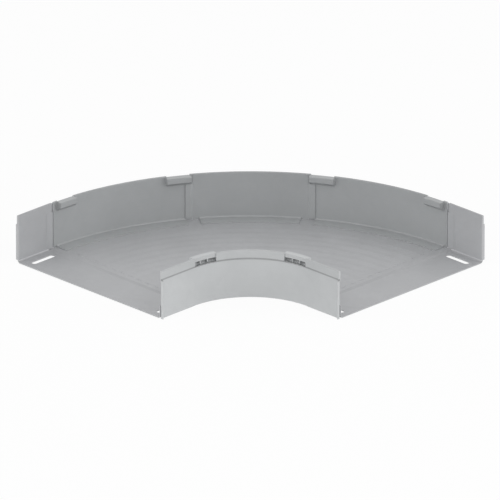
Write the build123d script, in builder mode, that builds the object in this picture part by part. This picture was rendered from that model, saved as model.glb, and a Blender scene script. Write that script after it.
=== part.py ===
from build123d import *
from math import cos, degrees, radians, sin
import os

# Horizontal 90 degree bend for a sheet-steel cable tray.
# Millimetres and degrees, +Z up. The origin lies on the underside, below the middle of the
# bend's bounding box. Angles are counted from end A round the bend's centre to end B.

# Sheet and main sizes
sheet = 1.0  # thickness of every folded sheet
clear_width = 200.0  # between the tray faces of the two sides
side_height = 51.0  # from the underside to the top of the hems
inner_radius = 80.0  # tray face of the inner side
end_length = 45.5  # straight run from the curve to each open end

# Folds and hems
fold_bevel = 1.2  # bevel on the inside of the fold between a curved side and its foot
fold_edge = 0.4  # bevel on the outside of that fold
end_fold_radius = 2.0  # inside radius between an end's floor and its walls
hem_height = 9.5  # depth of the rim folded outwards and down
hem_bevel = 0.6  # bevel along both upper edges of a hem
inner_foot = 12.0  # width of the inner side's foot, under the floor
inner_foot_setback = 2.0  # from the end of the curve to that foot
outer_foot = 15.0  # width of the outer plates' foot, on the floor
end_foot_setback = 4.0  # from a side plate's edge beside an end to its foot
lap_foot_setback = 7.0  # from an outer plate's edge beside a lap to its foot

# Open ends
lip_depth = 3.4  # reach of the turned-out end of a side, from its tray face
lip_radius = 0.6  # inside radius of that turn
lip_clearance = 0.5  # between a lip and the hem above it
slot_length = 30.0
slot_width = 6.0
slot_inset = 12.0  # from a side's face to the slot's middle line
slot_setback = 22.5  # from the open end to the slot's middle
end_upstand = 14.0  # height of the floor's flange against the inner side
floor_ramp = 3.5  # length of the rise from an end's floor to the curved floor
side_clearance = 0.1  # between the inner side and the sheets beside it

# Curved floor
bead_pitch = 12.5
first_bead = 18.75  # from the inner side's face to the first bead's middle
bead_width = 12.5  # as wide as their pitch: one wave follows the other
bead_height = 0.45
bead_margin = 5.0  # least flat floor between the last bead and the outer plates' foot
bead_stop = 2.0  # angle between the end of the curve and the end of a bead

# Laps between the outer plates
lap_gap = 0.1  # clearance between lapped sheets
middle_span = 11.9  # half the angle of the middle plate, without its laps
middle_lap = 1.5  # angle over which the middle plate laps the next one
joggle_angle = 0.5  # angle taken by the step into a lap
seam_gap = 0.2  # clearance between two hems that follow each other
plate_stop = 0.7  # angle between a side plate's edge and the end of the curve
tongue_lap = 1.9  # angle from the end of the curve to the tip of an end's tongue
tongue_setback = 3.0  # from the end of the curve to the step into the tongue
rim_setback = 0.5  # from the end of the curve to the start of an end's rim, inwards
crimp_start = 2.1  # from the end of the curve to the nearest point of the crimp, inwards
crimp_turn = 5.0  # from the end of the curve to the crimp's far point
crimp_stop = 8.0  # from the end of the curve to where the wall is plain again
crimp_rise = 0.4  # how far the crimp stands into the tray at its start
crimp_fall = 0.4  # how far it lies back at its far point
crimp_bend = 0.8  # bend radius of the crimp, in the middle of the sheet

# Catches for the cover: lengths of rim folded into the tray over an opening in the wall
catch_far = 5.5  # from the side's face to the catch's upright face
catch_back = 1.5  # from the side's face to the tip of the catch's lower lip
catch_sink = 0.8  # from the rim down to the top of the catch
catch_brow = 4.0  # height of the wall left between the catch's top and the opening
catch_drop = 6.5  # from the rim down to the lower edge of the upright face
catch_hook = 10.0  # from the rim down to the tip of the lower lip
catch_sill = 0.5  # from the hem's lower edge up to the edge of the opening
end_catch_inset = 5.4  # from a side plate's edge beside an end to the opening
end_catch_length = 21.0
lap_catch_inset = 2.5  # from a side plate's edge beside the middle plate to the opening
lap_catch_length = 24.0
inner_catch_inset = 1.2  # from the end of the curve to the opening
inner_catch_length = 26.0
web_count = 2  # small webs inside each inner catch
cut_overrun = 1.0  # angle by which the cut for a foot runs past the edge of its sheet

# Worked out from the sizes above
quarter = 90.0
middle = quarter / 2
half_sheet = sheet / 2
floor_top = 2 * sheet
outer_radius = inner_radius + clear_width
hem_reach = 2 * sheet
hem_bottom = side_height - hem_height
lip_top = hem_bottom - lip_clearance
fold_top = sheet + end_fold_radius
foot_top = sheet + fold_bevel
catch_bottom = hem_bottom + catch_sill
catch_top = side_height - catch_sink
brow_bottom = catch_top - catch_brow
catch_knee = side_height - catch_drop
catch_tip = side_height - catch_hook
floor_start = inner_radius + fold_bevel + side_clearance
upstand_edge = inner_radius + side_clearance + fold_top
bead_room = clear_width - outer_foot - bead_margin - first_bead - bead_width / 2
bead_count = int(bead_room / bead_pitch) + 1
lap_step = sheet + lap_gap
lap_sill = floor_top + foot_top + lap_gap
lap_top = catch_tip - lap_gap
lip_bend = 2 * (sheet + lip_radius)
lip_cut = sheet + lip_radius
wall_middle = outer_radius + half_sheet
inner_wall_middle = inner_radius - half_sheet
upstand_middle = inner_radius + side_clearance + half_sheet
middle_start = middle - middle_span
plate_end = middle_start - degrees(seam_gap / outer_radius)
centre_shift = (outer_radius + lip_depth - end_length) / 2
bend_axis = Axis((-centre_shift, -centre_shift, 0), (0, 0, 1))
symmetry_plane = Plane(origin=(0, 0, 0), z_dir=(1, -1, 0))


def level(height):
    """The horizontal plane at a height, centred on the bend."""
    return Plane((-centre_shift, -centre_shift, height))


def upright(angle):
    """The upright plane through the bend's centre: radius to the right, height up."""
    outwards = (cos(radians(angle)), sin(radians(angle)), 0)
    across = (sin(radians(angle)), -cos(radians(angle)), 0)
    return Plane((-centre_shift, -centre_shift, 0), x_dir=outwards, z_dir=across)


def polar(radius, angle):
    """The point of a level plane at a radius and an angle."""
    return radius * cos(radians(angle)), radius * sin(radians(angle))


def box(near, far, bottom, top):
    """Adds a rectangle to a section, between two radii and two heights."""
    with Locations(((near + far) / 2, (bottom + top) / 2)):
        Rectangle(abs(far - near), top - bottom)


def side_section(plane, face, outward, base, foot):
    """Draws a side as one folded sheet: foot, wall and a closed hem on the outside."""
    back = face + outward * sheet
    with BuildSketch(plane) as section:
        box(face, back, base, side_height)
        box(back, back + outward * sheet, hem_bottom, side_height)
        chamfer(section.vertices().group_by(Axis.Y)[-1], length=hem_bevel)
        if foot > 0:
            box(face - outward * foot, back, base, base + sheet)
            corners = section.vertices()
            outer_corner = corners.sort_by_distance((back, base))[0]
            inner_corner = corners.sort_by_distance((face, base + sheet))[0]
            chamfer(outer_corner, length=fold_edge)
            chamfer(inner_corner, length=fold_bevel)
    return section.sketch


def turned(start, stop, near, far, bottom, top, mode=Mode.ADD):
    """Turns a rectangle between two radii and two heights round the bend's centre."""
    with BuildSketch(upright(start)) as section:
        box(near, far, bottom, top)
    revolve(section.sketch, axis=bend_axis, revolution_arc=stop - start, mode=mode)


def turned_outline(start, stop, face, outward, points):
    """Turns an outline given by distances into the tray and heights round the bend's centre."""
    with BuildSketch(upright(start)) as section:
        with BuildLine():
            Polyline([(face - outward * depth, height) for depth, height in points], close=True)
        make_face()
    revolve(section.sketch, axis=bend_axis, revolution_arc=stop - start)


def cut_foot(start, stop, face, outward, base, foot):
    """Takes the foot off a curved side between two angles."""
    edge = face - outward * (foot + sheet)
    turned(start, stop, face, edge, base - sheet, base + foot_top, Mode.SUBTRACT)


def cover_catch(start, length, face, outward, webs):
    """Opens the rim from an angle on and folds it into the tray instead, closed by webs."""
    stop = start + degrees(length / face)
    web_angle = degrees(sheet / face)
    rim_edge = face + outward * (hem_reach + sheet)
    turned(start, stop, face - outward * sheet, rim_edge, catch_bottom, side_height + sheet, Mode.SUBTRACT)
    fold = (
        (-sheet, brow_bottom),
        (-sheet, catch_top),
        (catch_far - hem_bevel, catch_top),
        (catch_far, catch_top - hem_bevel),
        (catch_far, catch_knee),
        (catch_back, catch_tip),
        (catch_back, catch_tip + sheet),
        (catch_far - sheet, catch_knee + half_sheet),
        (catch_far - sheet, catch_top - sheet),
        (0, catch_top - sheet),
        (0, brow_bottom),
    )
    web = (
        (-half_sheet, catch_top - half_sheet),
        (catch_far - half_sheet, catch_top - half_sheet),
        (catch_far - half_sheet, catch_knee),
        (catch_back, catch_tip + half_sheet),
        (-half_sheet, catch_tip + half_sheet),
    )
    turned_outline(start - web_angle / 2, stop + web_angle / 2, face, outward, fold)
    for place in (start - web_angle, stop):
        turned_outline(place, place + web_angle, face, outward, web)
    for number in range(webs):
        place = start + (stop - start) * (number + 1) / (webs + 1)
        turned_outline(place, place + web_angle, face, outward, web)


# End A of the floor sheet: it drops by one sheet, and its edges fold up as the outer wall
# with its hem and as a low flange against the inner side
with BuildPart() as floor_end:
    with BuildSketch(upright(0).offset(floor_ramp)) as section:
        with BuildLine() as path:
            FilletPolyline(
                (upstand_middle, end_upstand),
                (upstand_middle, half_sheet),
                (wall_middle, half_sheet),
                (wall_middle, side_height),
                radius=end_fold_radius + half_sheet,
            )
        trace(path.line, line_width=sheet)
        box(outer_radius + sheet, outer_radius + hem_reach, hem_bottom, side_height)
        chamfer(section.vertices().group_by(Axis.Y)[-1], length=hem_bevel)
    extrude(section.sketch, amount=end_length - floor_ramp)
    # The rise to the curved floor, from the inner fold to below the outer wall
    with BuildSketch(Plane((upstand_edge - centre_shift, -centre_shift, 0), (0, 1, 0), (1, 0, 0))) as ramp:
        with BuildLine():
            Polyline((-floor_ramp, 0), (0, sheet), (0, floor_top), (-floor_ramp, sheet), close=True)
        make_face()
    extrude(ramp.sketch, amount=outer_radius + sheet - upstand_edge)
    # The rim runs on almost to the side plate
    with BuildSketch(upright(0).offset(floor_ramp)) as rim:
        box(outer_radius, outer_radius + sheet, lip_top, side_height)
        box(outer_radius + sheet, outer_radius + hem_reach, hem_bottom, side_height)
        chamfer(rim.vertices().group_by(Axis.Y)[-1], length=hem_bevel)
    extrude(rim.sketch, amount=-floor_ramp - rim_setback)
    # The crimped wall beside the seam, and its step into the tongue behind the side plate
    with BuildSketch(level(fold_top)) as window:
        with Locations((wall_middle, -crimp_stop / 2)):
            Rectangle(2 * sheet, crimp_stop)
    extrude(window.sketch, amount=lip_top - fold_top, mode=Mode.SUBTRACT)
    tongue_middle = outer_radius + lap_step + half_sheet
    tongue_sill = floor_top + lap_gap
    with BuildSketch(level(tongue_sill)) as crimp:
        with BuildLine() as path:
            FilletPolyline(
                (wall_middle, -crimp_stop - sheet),
                (wall_middle, -crimp_stop),
                (wall_middle + crimp_fall, -crimp_turn),
                (wall_middle - crimp_rise, crimp_start),
                (tongue_middle, tongue_setback),
                radius=crimp_bend,
            )
        trace(path.line, line_width=sheet)
    extrude(crimp.sketch, amount=lip_top - tongue_sill)
    joint = degrees(tongue_setback / tongue_middle)
    near_face, far_face = tongue_middle - half_sheet, tongue_middle + half_sheet
    turned(joint, tongue_lap, near_face, far_face, tongue_sill, lip_top)
    # The same step closes the seam between the two rims from behind
    with BuildSketch(level(lip_top - sheet)) as backing:
        with BuildLine():
            Polyline(
                (outer_radius, rim_setback - sheet),
                (outer_radius + sheet, rim_setback - sheet),
                (far_face, tongue_setback),
                (near_face, tongue_setback),
                close=True,
            )
        make_face()
    extrude(backing.sketch, amount=side_height - lip_top)
    # The turned-out lip at the open end, above the fold
    with BuildSketch(level(fold_top)) as corner:
        with Locations((wall_middle, -end_length + lip_cut / 2)):
            Rectangle(sheet, lip_cut)
    extrude(corner.sketch, amount=lip_top - fold_top, mode=Mode.SUBTRACT)
    with BuildSketch(level(fold_top)) as lip:
        with BuildLine() as path:
            FilletPolyline(
                (wall_middle, -end_length + lip_bend),
                (wall_middle, -end_length + half_sheet),
                (outer_radius + lip_depth, -end_length + half_sheet),
                radius=lip_radius + half_sheet,
            )
        trace(path.line, line_width=sheet)
    extrude(lip.sketch, amount=lip_top - fold_top)
    # Two slots for the screws of the next tray, along the sides
    with BuildSketch(level(0)) as slots:
        for radius in (inner_radius + slot_inset, outer_radius - slot_inset):
            with Locations((radius, slot_setback - end_length)):
                SlotOverall(slot_length, slot_width, rotation=quarter)
    extrude(slots.sketch, amount=sheet, mode=Mode.SUBTRACT)


# Floor: one sheet from end to end. Its curve has shallow concentric waves pressed into it
with BuildPart() as floor_plate:
    turned(0, bead_stop, floor_start, outer_radius, sheet, floor_top)
    turned(quarter - bead_stop, quarter, floor_start, outer_radius, sheet, floor_top)
    with BuildSketch(upright(bead_stop)) as waves:
        box(floor_start, outer_radius, sheet, floor_top)
        for number in range(bead_count):
            radius = inner_radius + first_bead + number * bead_pitch
            crest = ((-bead_width / 2, 0), (0, bead_height), (bead_width / 2, 0))
            with Locations((radius, floor_top)):
                Polygon(*crest, align=None)
            with Locations((radius, sheet)):
                Polygon(*crest, align=None, mode=Mode.SUBTRACT)
    revolve(waves.sketch, axis=bend_axis, revolution_arc=quarter - 2 * bead_stop)
    add(floor_end.part)
    mirror(floor_end.part, about=symmetry_plane)


# Inner side: the quarter turn with its foot and its two cover catches
with BuildPart() as inner_curve:
    section = side_section(upright(0), inner_radius, -1, 0, inner_foot)
    revolve(section, axis=bend_axis, revolution_arc=quarter)
    foot_start = degrees(inner_foot_setback / inner_radius)
    cut_foot(-cut_overrun, foot_start, inner_radius, -1, 0, inner_foot)
    cut_foot(quarter - foot_start, quarter + cut_overrun, inner_radius, -1, 0, inner_foot)
    opening = degrees(inner_catch_inset / inner_radius)
    catch_turn = degrees(inner_catch_length / inner_radius)
    for start in (opening, quarter - opening - catch_turn):
        cover_catch(start, inner_catch_length, inner_radius, -1, web_count)


# Inner side: a straight end, its edge turned outwards below the hem as a lip
with BuildPart() as inner_end:
    section = side_section(upright(0), inner_radius, -1, 0, 0)
    extrude(section, amount=end_length)
    with BuildSketch(level(0)) as corner:
        with Locations((inner_wall_middle, -end_length + lip_cut / 2)):
            Rectangle(sheet, lip_cut)
    extrude(corner.sketch, amount=lip_top, mode=Mode.SUBTRACT)
    with BuildSketch(level(0)) as lip:
        with BuildLine() as path:
            FilletPolyline(
                (inner_wall_middle, -end_length + lip_bend),
                (inner_wall_middle, -end_length + half_sheet),
                (inner_radius - lip_depth, -end_length + half_sheet),
                radius=lip_radius + half_sheet,
            )
        trace(path.line, line_width=sheet)
    extrude(lip.sketch, amount=lip_top)


# Inner side: both straights and the quarter turn are one sheet
with BuildPart() as inner_side:
    add(inner_curve.part)
    add(inner_end.part)
    mirror(inner_end.part, about=symmetry_plane)


# Middle outer plate: a lap at each edge runs on the tray side of the next plate
with BuildPart() as outer_plate_middle:
    section = side_section(upright(middle_start), outer_radius, 1, floor_top, outer_foot)
    revolve(section, axis=bend_axis, revolution_arc=2 * middle_span)
    foot_stop = middle_start + degrees(lap_foot_setback / outer_radius)
    overrun = middle_start - cut_overrun
    cut_foot(overrun, foot_stop, outer_radius, 1, floor_top, outer_foot)
    cut_foot(quarter - foot_stop, quarter - overrun, outer_radius, 1, floor_top, outer_foot)
    turn = middle_start - joggle_angle
    near_face, far_face = outer_radius - lap_step, outer_radius - lap_gap
    with BuildSketch(level(lap_sill)) as lap:
        with BuildLine():
            Polyline(
                polar(outer_radius, middle_start),
                polar(outer_radius + sheet, middle_start),
                polar(far_face, turn),
                polar(near_face, turn),
                close=True,
            )
        make_face()
    step = extrude(lap.sketch, amount=lap_top - lap_sill)
    mirror(step, about=symmetry_plane)
    edge = middle_start - middle_lap
    turned(edge, turn, near_face, far_face, lap_sill, lap_top)
    turned(quarter - turn, quarter - edge, near_face, far_face, lap_sill, lap_top)


# Side outer plate of end A, with its two cover catches
with BuildPart() as outer_plate_a:
    section = side_section(upright(plate_stop), outer_radius, 1, floor_top, outer_foot)
    revolve(section, axis=bend_axis, revolution_arc=plate_end - plate_stop)
    foot_start = plate_stop + degrees(end_foot_setback / outer_radius)
    foot_stop = plate_end - degrees(lap_foot_setback / outer_radius)
    cut_foot(plate_stop - cut_overrun, foot_start, outer_radius, 1, floor_top, outer_foot)
    cut_foot(foot_stop, plate_end + cut_overrun, outer_radius, 1, floor_top, outer_foot)
    # Below the rim its edge is set back beside the step of the middle plate
    near_face, far_face = outer_radius - sheet, outer_radius + 2 * sheet
    back = plate_end - joggle_angle
    turned(back, plate_end + joggle_angle, near_face, far_face, lap_sill, lip_top, Mode.SUBTRACT)
    end_opening = plate_stop + degrees(end_catch_inset / outer_radius)
    lap_opening = plate_end - degrees((lap_catch_inset + lap_catch_length) / outer_radius)
    cover_catch(end_opening, end_catch_length, outer_radius, 1, 0)
    cover_catch(lap_opening, lap_catch_length, outer_radius, 1, 0)


# The side plate of end B is the mirror image of that of end A
with BuildPart() as outer_plate_b:
    mirror(outer_plate_a.part, about=symmetry_plane)


os.makedirs("parts", exist_ok=True)
floor_plate.part.label = "floor_plate"
export_step(floor_plate.part, "parts/floor_plate.step")
inner_side.part.label = "inner_side"
export_step(inner_side.part, "parts/inner_side.step")
outer_plate_middle.part.label = "outer_plate_middle"
export_step(outer_plate_middle.part, "parts/outer_plate_middle.step")
outer_plate_a.part.label = "outer_plate_a"
export_step(outer_plate_a.part, "parts/outer_plate_a.step")
outer_plate_b.part.label = "outer_plate_b"
export_step(outer_plate_b.part, "parts/outer_plate_b.step")
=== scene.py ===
# %% [markdown]
# # A galvanised cable tray bend
# The object is a quarter turn for a sheet-steel cable tray. Every sheet of it is already a real
# solid in the CAD frame, so this lesson is about finish, light and camera: how zinc-coated steel
# looks, and how to photograph it as plainly as a catalogue does.

# %% Load the frame
import math

import bpy
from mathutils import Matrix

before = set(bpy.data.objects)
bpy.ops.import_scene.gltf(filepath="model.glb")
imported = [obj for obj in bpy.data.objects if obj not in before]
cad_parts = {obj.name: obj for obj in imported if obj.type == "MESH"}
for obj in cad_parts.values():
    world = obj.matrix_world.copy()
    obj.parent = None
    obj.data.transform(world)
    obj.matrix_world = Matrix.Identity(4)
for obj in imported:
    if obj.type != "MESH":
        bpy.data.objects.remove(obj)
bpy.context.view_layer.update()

# %% [markdown]
# A few of the drawing's own sizes are needed here: where the centre of the curve lies, to aim the
# camera and to lay the rolling lines round the curved sides, and where the walls, the hems and
# the feet are, to mark them. They could be measured on the meshes, but a finish that is tied to
# the drawing's numbers is easier to follow. They are repeated in millimetres and turned to metres.

# %% Sizes repeated from the drawing
MM = 0.001
INNER_RADIUS = 80 * MM
OUTER_RADIUS = 280 * MM
SIDE_REACH = 283.4 * MM
END_LENGTH = 45.5 * MM
HEM_BOTTOM = 41.5 * MM
FOOT_EDGE = 265 * MM
CENTRE = -(SIDE_REACH - END_LENGTH) / 2
print("centre of the bend at x = y =", round(CENTRE, 5))


# %% [markdown]
# Colours are written as a painter or a web page would write them, as hex values of what the eye
# sees. Shaders work in linear light, so one function turns the first into the second. A second
# small function adds a node with its settings and its inputs in one call. An input is a fixed
# value, an output of another node, or another node, which then stands for its first output.

# %% From a seen colour to linear light, and one way to add a node
def linear(hex_colour):
    """Turns an sRGB hex value into linear red, green, blue and an alpha of one, by the sRGB
    standard's own formula."""
    channels = [int(hex_colour[place : place + 2], 16) / 255 for place in (0, 2, 4)]
    return [c / 12.92 if c <= 0.04045 else ((c + 0.055) / 1.055) ** 2.4 for c in channels] + [1]


def add(tree, kind, inputs=None, **settings):
    """Adds a node, sets its properties, and fills or links its inputs."""
    node = tree.nodes.new(kind)
    for name, value in settings.items():
        setattr(node, name, value)
    for name, value in (inputs or {}).items():
        if isinstance(value, bpy.types.Node):
            value = next(output for output in value.outputs if output.enabled)
        if isinstance(value, bpy.types.NodeSocket):
            tree.links.new(value, node.inputs[name])
        else:
            node.inputs[name].default_value = value
    return node


MATHS = "ShaderNodeMath"
VECTOR = "ShaderNodeVectorMath"
RANGE = "ShaderNodeMapRange"
MIX = "ShaderNodeMix"
print("pale zinc in linear light:", [round(c, 3) for c in linear("c8caca")])


# %% [markdown]
# A coil of steel is rolled, dipped in zinc and cut to blanks, so fine lines run along the strip
# it came from. The floor was cut from a flat strip and keeps straight lines. The sides are
# strips bent to an arc, so their lines follow the arc. A pattern laid on plain X, Y, Z would
# cross them at every angle, and a UV map would need the meshes, which stay as they are. So the
# place of each point is worked out in the sheet's own directions: how far along the arc, how
# high, and how deep.

# %% Directions of a sheet
def strip_directions(tree):
    """Gives the place in the part; the place in a curved side's own directions, which are along
    the arc (angle times radius), height and distance from the bend's centre; and the direction
    straight outwards. On a straight end, that distance is the one from the line through the
    centre beside it, so that a side's depth is the same all along."""
    place = add(tree, "ShaderNodeTexCoord").outputs["Object"]
    moved = add(tree, VECTOR, {0: place, 1: (CENTRE, CENTRE, 0)}, operation="SUBTRACT")
    parts = add(tree, "ShaderNodeSeparateXYZ", {0: moved})
    turn = add(tree, MATHS, {0: parts.outputs["Y"], 1: parts.outputs["X"]}, operation="ARCTAN2")
    along = add(tree, MATHS, {0: turn, 1: INNER_RADIUS}, operation="MULTIPLY")
    level = add(tree, VECTOR, {0: moved, 1: (1, 1, 0)}, operation="MULTIPLY")
    outwards = add(tree, VECTOR, {0: level, 1: (0, 0, 0)}, operation="MAXIMUM")
    depth = add(tree, VECTOR, {0: outwards}, operation="LENGTH")
    own = add(tree, "ShaderNodeCombineXYZ", {"X": along, "Y": parts.outputs["Z"], "Z": depth})
    return place, own, outwards


print("arcs measured at a radius of", INNER_RADIUS, "m")


# %% [markdown]
# Hot-dip galvanised sheet is steel under a skin of zinc. The eye knows it by four things: the
# spangle, which is the pattern of zinc crystals that lie a little lighter or darker; the fine
# lines of rolling along the sheet; a dull, cloudy sheen where the zinc has turned to grey
# carbonate; and bright cut edges, where the sheet was sheared and rubbed. In folds, in crevices
# and under the hems the colour is darkened by painted shade, and the folds are duller zinc too.
#
# The spangle of such strip is 3 to 8 mm wide. Voronoi cells stand for the crystals, pushed about
# by noise so that their borders aren't straight. The rolling lines are really about 0.1 mm
# apart, which no pixel can show, so they are drawn 0.8 mm apart. The clouds are 70 mm wide.

# %% Crystals, rolling lines and clouds
SPANGLE = 7 * MM
BORDER_WOBBLE = 2 * SPANGLE  # size of the noise that bends the crystals' borders
ROLLING = 0.8 * MM
ROLLING_STRETCH = 0.03  # a line is some thirty times as long as it is wide
CLOUD = 70 * MM
CRYSTAL_SHARE = 0.12  # weight of a crystal's own tone beside a cloud's
LINE_SHARE = 0.22
DARK_AT = 0.32  # sum of the three at which the sheet has its dark colour
LIGHT_AT = 1.02


def zinc_pattern(tree, place, strip):
    """Gives each crystal's three random numbers, the lines, and the tone from 0 to 1, which is
    cloud + share of crystal + share of line, spread over its own range."""
    wobble = {"Vector": place, "Scale": 1 / BORDER_WOBBLE, "Detail": 2}
    warp = add(tree, "ShaderNodeTexNoise", wobble)
    push = {0: warp.outputs["Color"], 1: [SPANGLE / 2] * 3, 2: place}
    pushed = add(tree, VECTOR, push, operation="MULTIPLY_ADD")
    cells = add(tree, "ShaderNodeTexVoronoi", {"Vector": pushed, "Scale": 1 / SPANGLE})
    crystal = add(tree, "ShaderNodeSeparateColor", {"Color": cells.outputs["Color"]})
    cloud = add(tree, "ShaderNodeTexNoise", {"Vector": place, "Scale": 1 / CLOUD, "Detail": 4})
    drawn_out = {"Vector": strip, "Scale": (ROLLING_STRETCH, 1, 1)}
    stretched = add(tree, "ShaderNodeMapping", drawn_out)
    fine = {"Vector": stretched, "Scale": 1 / ROLLING, "Detail": 2, "Roughness": 0.6}
    lines = add(tree, "ShaderNodeTexNoise", fine)
    shares = {0: crystal.outputs["Red"], 1: CRYSTAL_SHARE, 2: cloud}
    with_crystals = add(tree, MATHS, shares, operation="MULTIPLY_ADD")
    shares = {0: lines, 1: LINE_SHARE, 2: with_crystals}
    with_lines = add(tree, MATHS, shares, operation="MULTIPLY_ADD")
    spread = {"Value": with_lines, "From Min": DARK_AT, "From Max": LIGHT_AT}
    return crystal, lines, add(tree, RANGE, spread)


print("spangle", SPANGLE, "m, rolling lines", ROLLING, "m apart")


# %% [markdown]
# Folding leaves marks. A fold stretches the zinc, which crazes and turns dull, and its colour is
# darkened by painted shade. Below a closed hem the colour gets a dark line of painted shadow, and
# the hem above it is a little darker. Such marks could be drawn into an image, but each lies where
# the surface leans, or at a known height or depth, so a comparison of those numbers finds it.
# Each function gives a factor on the tone.

# %% Painted shade in a fold and under a hem
# painted shade: the colour of a fold, which leans to the light, is darkened to this share
FOLD_PAINTED_SHADE = 0.92
LEANING = (0.3, 0.6)  # upward part of the normal where a fold begins and is full
LEVEL = (0.99, 0.95)  # the same, coming from a level face
# painted shadow: a dark line in the colour along each hem's lower edge
HEM_SHADOW_HALF_HEIGHT = 1.1 * MM  # half the height of the dark line at a hem's lower edge
HEM_SHADOW_RISE = 0.15 * MM  # the line's middle above the hem's lower edge
HEM_SHADOW_TONE = -0.32
HEM_TONE = -0.07


def folded(tree, normal):
    """Gives 1 where the surface leans, as in a fold, and 0 where it is level or upright."""
    up = add(tree, "ShaderNodeSeparateXYZ", {0: normal}).outputs["Z"]
    pair = {}
    for number, (start, full) in enumerate((LEANING, LEVEL)):
        pair[number] = add(tree, RANGE, {"Value": up, "From Min": start, "From Max": full})
    return add(tree, MATHS, pair, operation="MULTIPLY")


def hem(tree, own, behind):
    """How light the back of a side is at its hem: a painted shadow line at the edge, a little
    darker above. The pair "behind" says on which side of which depth the back of the side lies."""
    parts = add(tree, "ShaderNodeSeparateXYZ", {0: own})
    height, depth = parts.outputs["Y"], parts.outputs["Z"]
    band = {0: height, 1: HEM_BOTTOM + HEM_SHADOW_RISE, 2: HEM_SHADOW_HALF_HEIGHT}
    in_painted_shadow = add(tree, MATHS, band, operation="COMPARE")
    above = add(tree, MATHS, {0: height, 1: HEM_BOTTOM}, operation="GREATER_THAN")
    hem_darker = add(tree, MATHS, {0: above, 1: HEM_TONE}, operation="MULTIPLY")
    both = add(tree, MATHS, {0: in_painted_shadow, 1: HEM_SHADOW_TONE, 2: hem_darker}, operation="MULTIPLY_ADD")
    side, limit = behind
    at_back = add(tree, MATHS, {0: depth, 1: limit}, operation=side)
    return add(tree, MATHS, {0: both, 1: at_back, 2: 1.0}, operation="MULTIPLY_ADD")


print("dark line at the hems:", 2 * HEM_SHADOW_HALF_HEIGHT, "m high")


# %% [markdown]
# The outer plates get painted light and shade as well. Their sheared ends lie in shade and are
# lightened by painted light, which also gives them the lighter tone of bare steel. Their feet on
# the floor grow lighter towards the edge by painted light, away from the wall's shade, and the
# edge face itself gets painted shade. Depth and height find a foot, and the direction in which a
# face looks finds an end.

# %% Painted light and shade on a plate's feet and sheared ends
HAIR = 0.1 * MM  # added to a limit, so that the face that lies on it counts
FOOT_TOP = 5 * MM  # below this height a plate is foot and fold, above it wall
# painted light on a foot away from the wall's shade, and painted shade on its edge face
FOOT_PAINTED_LIGHT = 0.10
FOOT_EDGE_PAINTED_SHADE = -0.13
END_FACING = 0.8  # how squarely a face looks along the arc, to be a sheared end
# painted light on the sheared ends, which lie in shade; it also gives their bare steel
END_PAINTED_LIGHT = 0.7
FOOT_END_PAINTED_LIGHT = 0.3


def foot(tree, own):
    """How light the outer plates' feet are: as the wall at the fold, lighter towards their edge by
    painted light, away from the wall's shade, and darker on the edge face by painted shade."""
    parts = add(tree, "ShaderNodeSeparateXYZ", {0: own})
    height, depth = parts.outputs["Y"], parts.outputs["Z"]
    low = add(tree, MATHS, {0: height, 1: FOOT_TOP}, operation="LESS_THAN")
    spread = {"Value": depth, "From Min": OUTER_RADIUS, "From Max": FOOT_EDGE}
    lighter = add(tree, RANGE, {**spread, "To Max": FOOT_PAINTED_LIGHT})
    edge = add(tree, MATHS, {0: depth, 1: FOOT_EDGE + 2 * HAIR}, operation="LESS_THAN")
    shares = {0: edge, 1: FOOT_EDGE_PAINTED_SHADE, 2: lighter}
    tone = add(tree, MATHS, shares, operation="MULTIPLY_ADD")
    return add(tree, MATHS, {0: low, 1: tone, 2: 1.0}, operation="MULTIPLY_ADD")


def sheared(tree, own, outwards, normal):
    """How light a plate's sheared ends are, in the wall and in the foot: lighter by painted light,
    where they lie in shade, which also gives their bare steel. There the normal looks along the
    arc, which is the outward direction crossed with the upward one."""
    parts = add(tree, "ShaderNodeSeparateXYZ", {0: own})
    along = add(tree, VECTOR, {0: outwards, 1: (0, 0, 1)}, operation="CROSS_PRODUCT")
    unit = add(tree, VECTOR, {0: along}, operation="NORMALIZE")
    facing = add(tree, VECTOR, {0: unit, 1: normal}, operation="DOT_PRODUCT")
    either_way = add(tree, MATHS, {0: facing}, operation="ABSOLUTE")
    end = add(tree, MATHS, {0: either_way, 1: END_FACING}, operation="GREATER_THAN")
    low = add(tree, MATHS, {0: parts.outputs["Y"], 1: FOOT_TOP}, operation="LESS_THAN")
    in_foot = add(tree, MATHS, {0: low, 1: FOOT_END_PAINTED_LIGHT}, operation="MULTIPLY")
    wall = {0: parts.outputs["Z"], 1: OUTER_RADIUS - HAIR}
    in_wall = add(tree, MATHS, wall, operation="GREATER_THAN")
    # painted light on the sheared ends, which also stands for their bare steel
    bare = add(tree, MATHS, {0: in_wall, 1: END_PAINTED_LIGHT, 2: in_foot}, operation="MULTIPLY_ADD")
    return add(tree, MATHS, {0: end, 1: bare, 2: 1.0}, operation="MULTIPLY_ADD")


print("feet grow lighter from", OUTER_RADIUS, "to", FOOT_EDGE, "m from the centre")


# %% [markdown]
# Edges and crevices tell the eye that the sheet is real: edges are rubbed bright, and narrow
# gaps get painted shade, darkened in the colour. The Bevel node gives the normal that a rounded
# corner would have, and where it leaves the face's own normal there is an edge. Ambient
# occlusion tells how much other steel lies within a few millimetres, and sets the painted shade.
# Both read the shape itself, so no mask has to be drawn.

# %% Worn edges and painted shade in crevices
EDGE = 0.5 * MM
EDGE_WEAR = 0.22
CORNER = (0.98, 0.80)  # agreement of the two normals where an edge begins and is full
CREVICE = 5 * MM
# painted shade: the share of its colour that the deepest crevice keeps
CREVICE_PAINTED_SHADE = 0.8
CREVICE_OPENNESS = (0.05, 0.5)  # openness where a crevice is darkest, and where it ends
FREE = 0.8  # openness below which an edge isn't rubbed


def openness(tree):
    """Gives 1 in the open and less where other steel is near."""
    near = {"Distance": CREVICE}
    return add(tree, "ShaderNodeAmbientOcclusion", near, samples=8).outputs["AO"]


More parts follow.
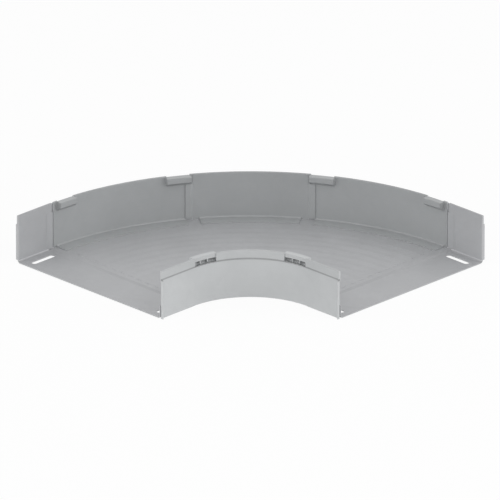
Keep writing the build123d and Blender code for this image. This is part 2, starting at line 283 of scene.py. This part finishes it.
def crevice(tree, nearby):
    """Painted shade: how dark the sheet's colour is made for the steel around it."""
    closed, open_enough = CREVICE_OPENNESS
    spread = {"From Min": closed, "From Max": open_enough, "To Min": CREVICE_PAINTED_SHADE}
    return add(tree, RANGE, {"Value": nearby, **spread})


def worn_edge(tree, normal, nearby):
    """How much bare steel shows: at corners that stand free, but not inside a fold."""
    rounded = add(tree, "ShaderNodeBevel", {"Radius": EDGE}, samples=6)
    agreement = add(tree, VECTOR, {0: rounded, 1: normal}, operation="DOT_PRODUCT")
    start, full = CORNER
    corner = {"Value": agreement, "From Min": start, "From Max": full, "To Max": EDGE_WEAR}
    free = {"Value": nearby, "From Min": FREE}
    pair = {0: add(tree, RANGE, corner), 1: add(tree, RANGE, free)}
    return add(tree, MATHS, pair, operation="MULTIPLY")


print("edges worn over", EDGE, "m, crevices dark within", CREVICE, "m")


# %% [markdown]
# Relief is what the light catches. The rolling lines and the steps between crystals stand out by
# a few hundredths of a millimetre, far too little to model, so a bump stands for them. The floor
# has another need: its waves are modelled with straight sides, and the pressed sheet rolls over
# softly, so its shading takes a normal that leans less than the sides do.

# %% Relief of the skin
RELIEF = 0.03 * MM
RELIEF_STRENGTH = 0.10
LINE_RELIEF = 0.7  # height of a rolling line beside a crystal's step


def skin_relief(tree, crystal, lines, normal, softness):
    """Gives the normal with bump, from the face's own with its level parts times softness."""
    steps = {0: lines, 1: LINE_RELIEF, 2: crystal.outputs["Blue"]}
    height = add(tree, MATHS, steps, operation="MULTIPLY_ADD")
    lean = {0: normal, 1: (softness, softness, 1)}
    leaning = add(tree, VECTOR, lean, operation="MULTIPLY")
    soft = add(tree, VECTOR, {0: leaning}, operation="NORMALIZE")
    relief = {"Strength": RELIEF_STRENGTH, "Distance": RELIEF, "Height": height}
    return add(tree, "ShaderNodeBump", {**relief, "Normal": soft})


print("relief", RELIEF, "m")


# %% [markdown]
# Now the whole finish. Zinc is a metal, but its carbonate is not, so a dulled sheet lies between
# the two: metallic starts from 1 and comes down until the sheet looks as flat as it does on the
# object. Each visible difference between the sheets is one of the function's settings.

# %% The zinc finish
BARE_STEEL = "dcdedd"
METALLIC = 0.4
METALLIC_IN_FOLDS = 0.15
ROUGHER_IN_FOLDS = 0.3
CRYSTAL_ROUGHNESS = (-0.04, 0.06)  # how much sharper or duller a crystal reflects


def galvanised(name, light, dark, roughness, curved, behind=None, plate=False, softness=1.0):
    """Zinc-coated sheet: tone from the pattern, darker by painted shade in crevices, folds and
    at hems, brighter at worn edges and, by painted light, at the plates' sheared ends, with a
    sheen and a relief that follow the crystals and the rolling lines."""
    material = bpy.data.materials.new(name)
    material.use_nodes = True
    tree = material.node_tree
    tree.nodes.clear()
    place, own, outwards = strip_directions(tree)
    normal = add(tree, "ShaderNodeNewGeometry").outputs["Normal"]
    crystal, lines, tone = zinc_pattern(tree, place, own if curved else place)
    colours = {"Factor": tone, "A": linear(dark), "B": linear(light)}
    zinc = add(tree, MIX, colours, data_type="RGBA")
    # Painted shade in crevices and folds, worn edges, and this sheet's painted light and shade
    nearby = openness(tree)
    fold = folded(tree, normal)
    painted_tones = [add(tree, RANGE, {"Value": fold, "To Min": 1, "To Max": FOLD_PAINTED_SHADE})]
    worn = worn_edge(tree, normal, nearby)
    if behind:
        painted_tones.append(hem(tree, own, behind))
    if plate:
        painted_tones += [foot(tree, own), sheared(tree, own, outwards, normal)]
        height = add(tree, "ShaderNodeSeparateXYZ", {0: own}).outputs["Y"]
        upper = add(tree, MATHS, {0: height, 1: FOOT_TOP}, operation="GREATER_THAN")
        worn = add(tree, MATHS, {0: worn, 1: upper}, operation="MULTIPLY")
    shade = crevice(tree, nearby)
    for painted_tone in painted_tones:
        shade = add(tree, MATHS, {0: shade, 1: painted_tone}, operation="MULTIPLY")
    shaded = add(tree, VECTOR, {0: zinc, "Scale": shade}, operation="SCALE")
    colours = {"Factor": worn, "A": shaded, "B": linear(BARE_STEEL)}
    colour = add(tree, MIX, colours, data_type="RGBA")
    # Sheen: each crystal reflects a little more or less sharply, and a fold is matt
    sharper, duller = CRYSTAL_ROUGHNESS
    sheens = {"To Min": roughness + sharper, "To Max": roughness + duller}
    sheen = add(tree, RANGE, {"Value": crystal.outputs["Green"], **sheens})
    matt = add(tree, MATHS, {0: fold, 1: ROUGHER_IN_FOLDS, 2: sheen}, operation="MULTIPLY_ADD")
    metal = {"Value": fold, "To Min": METALLIC, "To Max": METALLIC_IN_FOLDS}
    surface = {
        "Base Color": colour,
        "Metallic": add(tree, RANGE, metal),
        "Roughness": matt,
        "Normal": skin_relief(tree, crystal, lines, normal, softness),
    }
    skin = add(tree, "ShaderNodeBsdfPrincipled", surface)
    add(tree, "ShaderNodeOutputMaterial", {"Surface": skin})
    print("made", name, "with", len(tree.nodes), "nodes")
    return material


# %% [markdown]
# The three sheets get a little different tones of the same zinc, as painted light and shade for
# how each is lit: the inner side is painted palest, the outer plates a shade darker than the
# floor. One material for all would lose that, so there are three, from one function. Each CAD
# solid gets its own in its material slots.

# %% Finish each sheet
HALF_SHEET = 0.5 * MM
INNER_BACK = ("LESS_THAN", INNER_RADIUS - HALF_SHEET)  # its hem lies towards the centre
OUTER_BACK = ("GREATER_THAN", OUTER_RADIUS + HALF_SHEET)
# painted light and shade: the inner side's colours are lighter, the outer plates' darker
floor_zinc = galvanised("galvanised floor sheet", "bbbcbe", "b1b2b4", 0.50, False, softness=0.45)
outer_zinc = galvanised("galvanised outer plates", "b1b3b4", "a8aaab", 0.46, True, OUTER_BACK, True)
inner_zinc = galvanised("galvanised inner side", "c8cacb", "c0c2c3", 0.48, True, INNER_BACK)
FINISH = {
    "floor_plate": floor_zinc,
    "inner_side": inner_zinc,
    "outer_plate_middle": outer_zinc,
    "outer_plate_a": outer_zinc,
    "outer_plate_b": outer_zinc,
}
for node, material in FINISH.items():
    mesh_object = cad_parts[node]
    for slot in mesh_object.material_slots:
        slot.material = material
    print(node, len(mesh_object.data.polygons), "triangles in", material.name)

# %% [markdown]
# The photograph has a white ground with no edge. A large sheet of white paper gives that: to the
# camera, and in the metal's own reflections, it glows plain white, and it is ordinary paper
# for all other light, so that it still takes the object's soft shadow. More light on a grey
# floor would whiten it too, but it would bleach the object with it.

# %% A ground that is white to the camera
GROUND_HALF = 6.0
GROUND_DROP = 0.5 * MM
GROUND_GLOW = 0.93  # share of the glow, the rest is lit paper
PAPER = "f4f4f4"
WHITE = (1, 1, 1, 1)


def seen_or_reflected(tree):
    """Gives 1 for rays from the camera, from a reflection or through glass, otherwise 0."""
    ray = add(tree, "ShaderNodeLightPath").outputs
    mirrored = {0: ray["Is Glossy Ray"], 1: ray["Is Transmission Ray"]}
    either = add(tree, MATHS, mirrored, operation="MAXIMUM")
    return add(tree, MATHS, {0: ray["Is Camera Ray"], 1: either}, operation="MAXIMUM")


ground_mesh = bpy.data.meshes.new("ground")
corners = ((-1, -1), (1, -1), (1, 1), (-1, 1))
places = [(x * GROUND_HALF, y * GROUND_HALF, -GROUND_DROP) for x, y in corners]
ground_mesh.from_pydata(places, [], [(0, 1, 2, 3)])
ground = bpy.data.objects.new("ground", ground_mesh)
bpy.context.scene.collection.objects.link(ground)
paper_material = bpy.data.materials.new("white studio paper")
paper_material.use_nodes = True
tree = paper_material.node_tree
tree.nodes.clear()
paper = add(tree, "ShaderNodeBsdfPrincipled", {"Base Color": linear(PAPER), "Roughness": 0.9})
glow = add(tree, "ShaderNodeEmission", {"Color": WHITE, "Strength": 1.0})
share = add(tree, MATHS, {0: seen_or_reflected(tree), 1: GROUND_GLOW}, operation="MULTIPLY")
both = add(tree, "ShaderNodeMixShader", {0: share, 1: paper, 2: glow})
add(tree, "ShaderNodeOutputMaterial", {"Surface": both})
ground_mesh.materials.append(paper_material)
print("ground", 2 * GROUND_HALF, "m wide")

# %% [markdown]
# A catalogue picture has almost no perspective, as if taken from far away with a very long lens.
# An orthographic camera could give that, but a real lens from 20 m keeps the trace of depth that
# a photograph has. The camera looks down by 22.7 degrees along the bend's diagonal. Its lens
# follows from how many picture points one metre of the object takes up.

# %% The camera
ELEVATION = math.radians(22.7)
PIXELS_PER_METRE = 1005.7
IMAGE_SIDE = 500
AIM_ROW = 327.5  # row of the picture in which the bend's centre lies
AIM_COLUMN = 250.32  # column of the picture in which the bend's diagonal lies
DISTANCE = 20.0
FARTHEST = 100  # metres that the camera sees
SENSOR = 36.0
behind_centre = (AIM_ROW - IMAGE_SIDE / 2) / (PIXELS_PER_METRE * math.sin(ELEVATION))
aim = CENTRE + behind_centre / math.sqrt(2)
camera_data = bpy.data.cameras.new("catalogue camera")
camera_data.sensor_width = SENSOR
camera_data.lens = SENSOR * DISTANCE * PIXELS_PER_METRE / IMAGE_SIDE
camera_data.clip_end = FARTHEST
camera_data.shift_x = -(AIM_COLUMN - IMAGE_SIDE / 2) / IMAGE_SIDE
camera = bpy.data.objects.new("catalogue camera", camera_data)
level_reach = DISTANCE * math.cos(ELEVATION) / math.sqrt(2)
camera.location = (aim - level_reach, aim - level_reach, DISTANCE * math.sin(ELEVATION))
camera.rotation_euler = (math.pi / 2 - ELEVATION, 0, -math.pi / 4)
bpy.context.scene.collection.objects.link(camera)
bpy.context.scene.camera = camera
print("lens", round(camera_data.lens, 1), "mm at", DISTANCE, "m")


# %% [markdown]
# The light is that of a tent: a pale, even sky, one very soft lamp from the camera's side, so
# that the faces turned to the viewer are lightest, and one from each side, so that the straight
# ends don't fall back. The inside of the outer wall is darker than the rest because the tray's
# own floor and inner side stand before it, and not the white ground. The powers were found by
# rendering each light alone and weighing the pictures until their sum had the right tones.

# %% The light
SKY_STRENGTH = 0.665


def soft_lamp(name, place, side, power):
    """Adds a square area lamp at a place, turned to the middle of the object."""
    data = bpy.data.lights.new(name, "AREA")
    data.shape = "SQUARE"
    data.size = side
    data.energy = power
    lamp = bpy.data.objects.new(name, data)
    reach = math.hypot(place[0], place[1])
    heading = math.atan2(place[1], place[0]) + math.pi / 2
    lamp.location = place
    lamp.rotation_euler = (math.atan2(reach, place[2]), 0, heading)
    bpy.context.scene.collection.objects.link(lamp)
    print(name, power, "watts,", side, "m wide")


soft_lamp("front softbox", place=(-1.3, -1.3, 1.3), side=2.4, power=9.5)
soft_lamp("left softbox", place=(-1.7, 1.0, 0.9), side=1.6, power=10.5)
soft_lamp("right softbox", place=(1.0, -1.7, 0.9), side=1.6, power=13.5)
world = bpy.data.worlds.new("white tent")
bpy.context.scene.world = world
world.use_nodes = True
tree = world.node_tree
tree.nodes.clear()
sky = add(tree, "ShaderNodeBackground", {"Color": linear(PAPER), "Strength": SKY_STRENGTH})
white = add(tree, "ShaderNodeBackground", {"Color": WHITE, "Strength": 1.0})
mix = add(tree, "ShaderNodeMixShader", {0: seen_or_reflected(tree), 1: sky, 2: white})
add(tree, "ShaderNodeOutputWorld", {"Surface": mix})
bpy.context.scene.view_settings.view_transform = "Standard"
